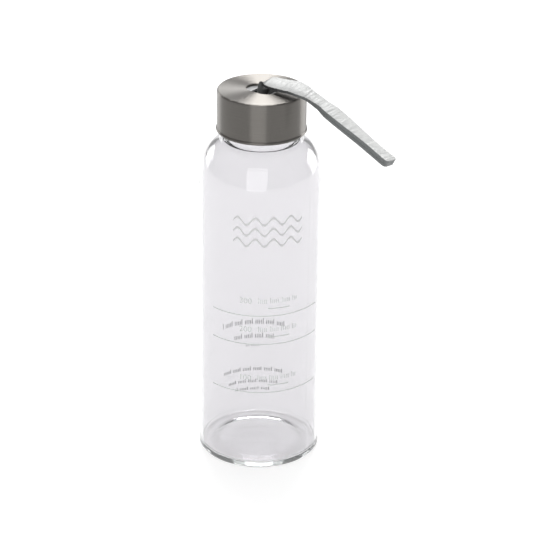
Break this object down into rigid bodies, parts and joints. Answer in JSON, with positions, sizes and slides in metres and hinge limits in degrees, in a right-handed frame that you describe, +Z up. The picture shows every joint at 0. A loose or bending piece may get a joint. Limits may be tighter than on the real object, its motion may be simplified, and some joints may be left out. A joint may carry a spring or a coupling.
{
  "type": "glass water bottle",
  "caption": "Straight-sided glass water bottle with a short rounded shoulder, a brushed steel screw lid and a flat carrying strap that comes out of a slot in the lid's top.",
  "frame": {"origin": "centre of the base, on the surface that the bottle stands on", "axes": "+Z up the bottle's axis to the lid; +X the way the strap lies"},
  "size_m": [0.1136, 0.0661, 0.2129],
  "materials": {
    "bottle_glass": "clear blown borosilicate glass, fire polished",
    "fired_ink": "screen-printed ceramic ink, fired on, satin grey",
    "lid_steel": "drawn and spun stainless steel, fine circular brushing",
    "liner_plastic": "moulded polypropylene, black",
    "frame_plastic": "moulded ABS, satin light grey",
    "bar_steel": "drawn stainless wire, bright",
    "seal_silicone": "moulded silicone, translucent white",
    "strap_fabric": "silvery coated strap with a raw grey woven edge"
  },
  "bodies": {
    "bottle": {"glass_body": "bottle_glass", "printed_scale": "fired_ink"},
    "seal": {"seal_ring": "seal_silicone"},
    "lid": {"lid_shell": "lid_steel", "lid_liner": "liner_plastic", "slot_frame": "frame_plastic", "strap_bar": "bar_steel", "strap_root": "strap_fabric"},
    "strap": {"strap_loop": "strap_fabric"}
  },
  "joints": [
    {"name": "lid_rise", "type": "slide", "parent": "bottle", "child": "seal", "axis": [0, 0, 1], "range_m": [0, 0.024]},
    {"name": "lid_turn", "type": "hinge", "parent": "seal", "child": "lid", "pos_m": [0, 0, 0.195], "axis": [0, 0, 1], "range_deg": [0, 1080]},
    {"name": "strap_swing", "type": "hinge", "parent": "lid", "child": "strap", "pos_m": [0, 0, 0.2097], "axis": [0, 1, 0], "range_deg": [-120, 0]}
  ],
  "couplings": [
    {"joint": "lid_rise", "follows": "lid_turn", "m_per_rad": 0.0012732}
  ]
}
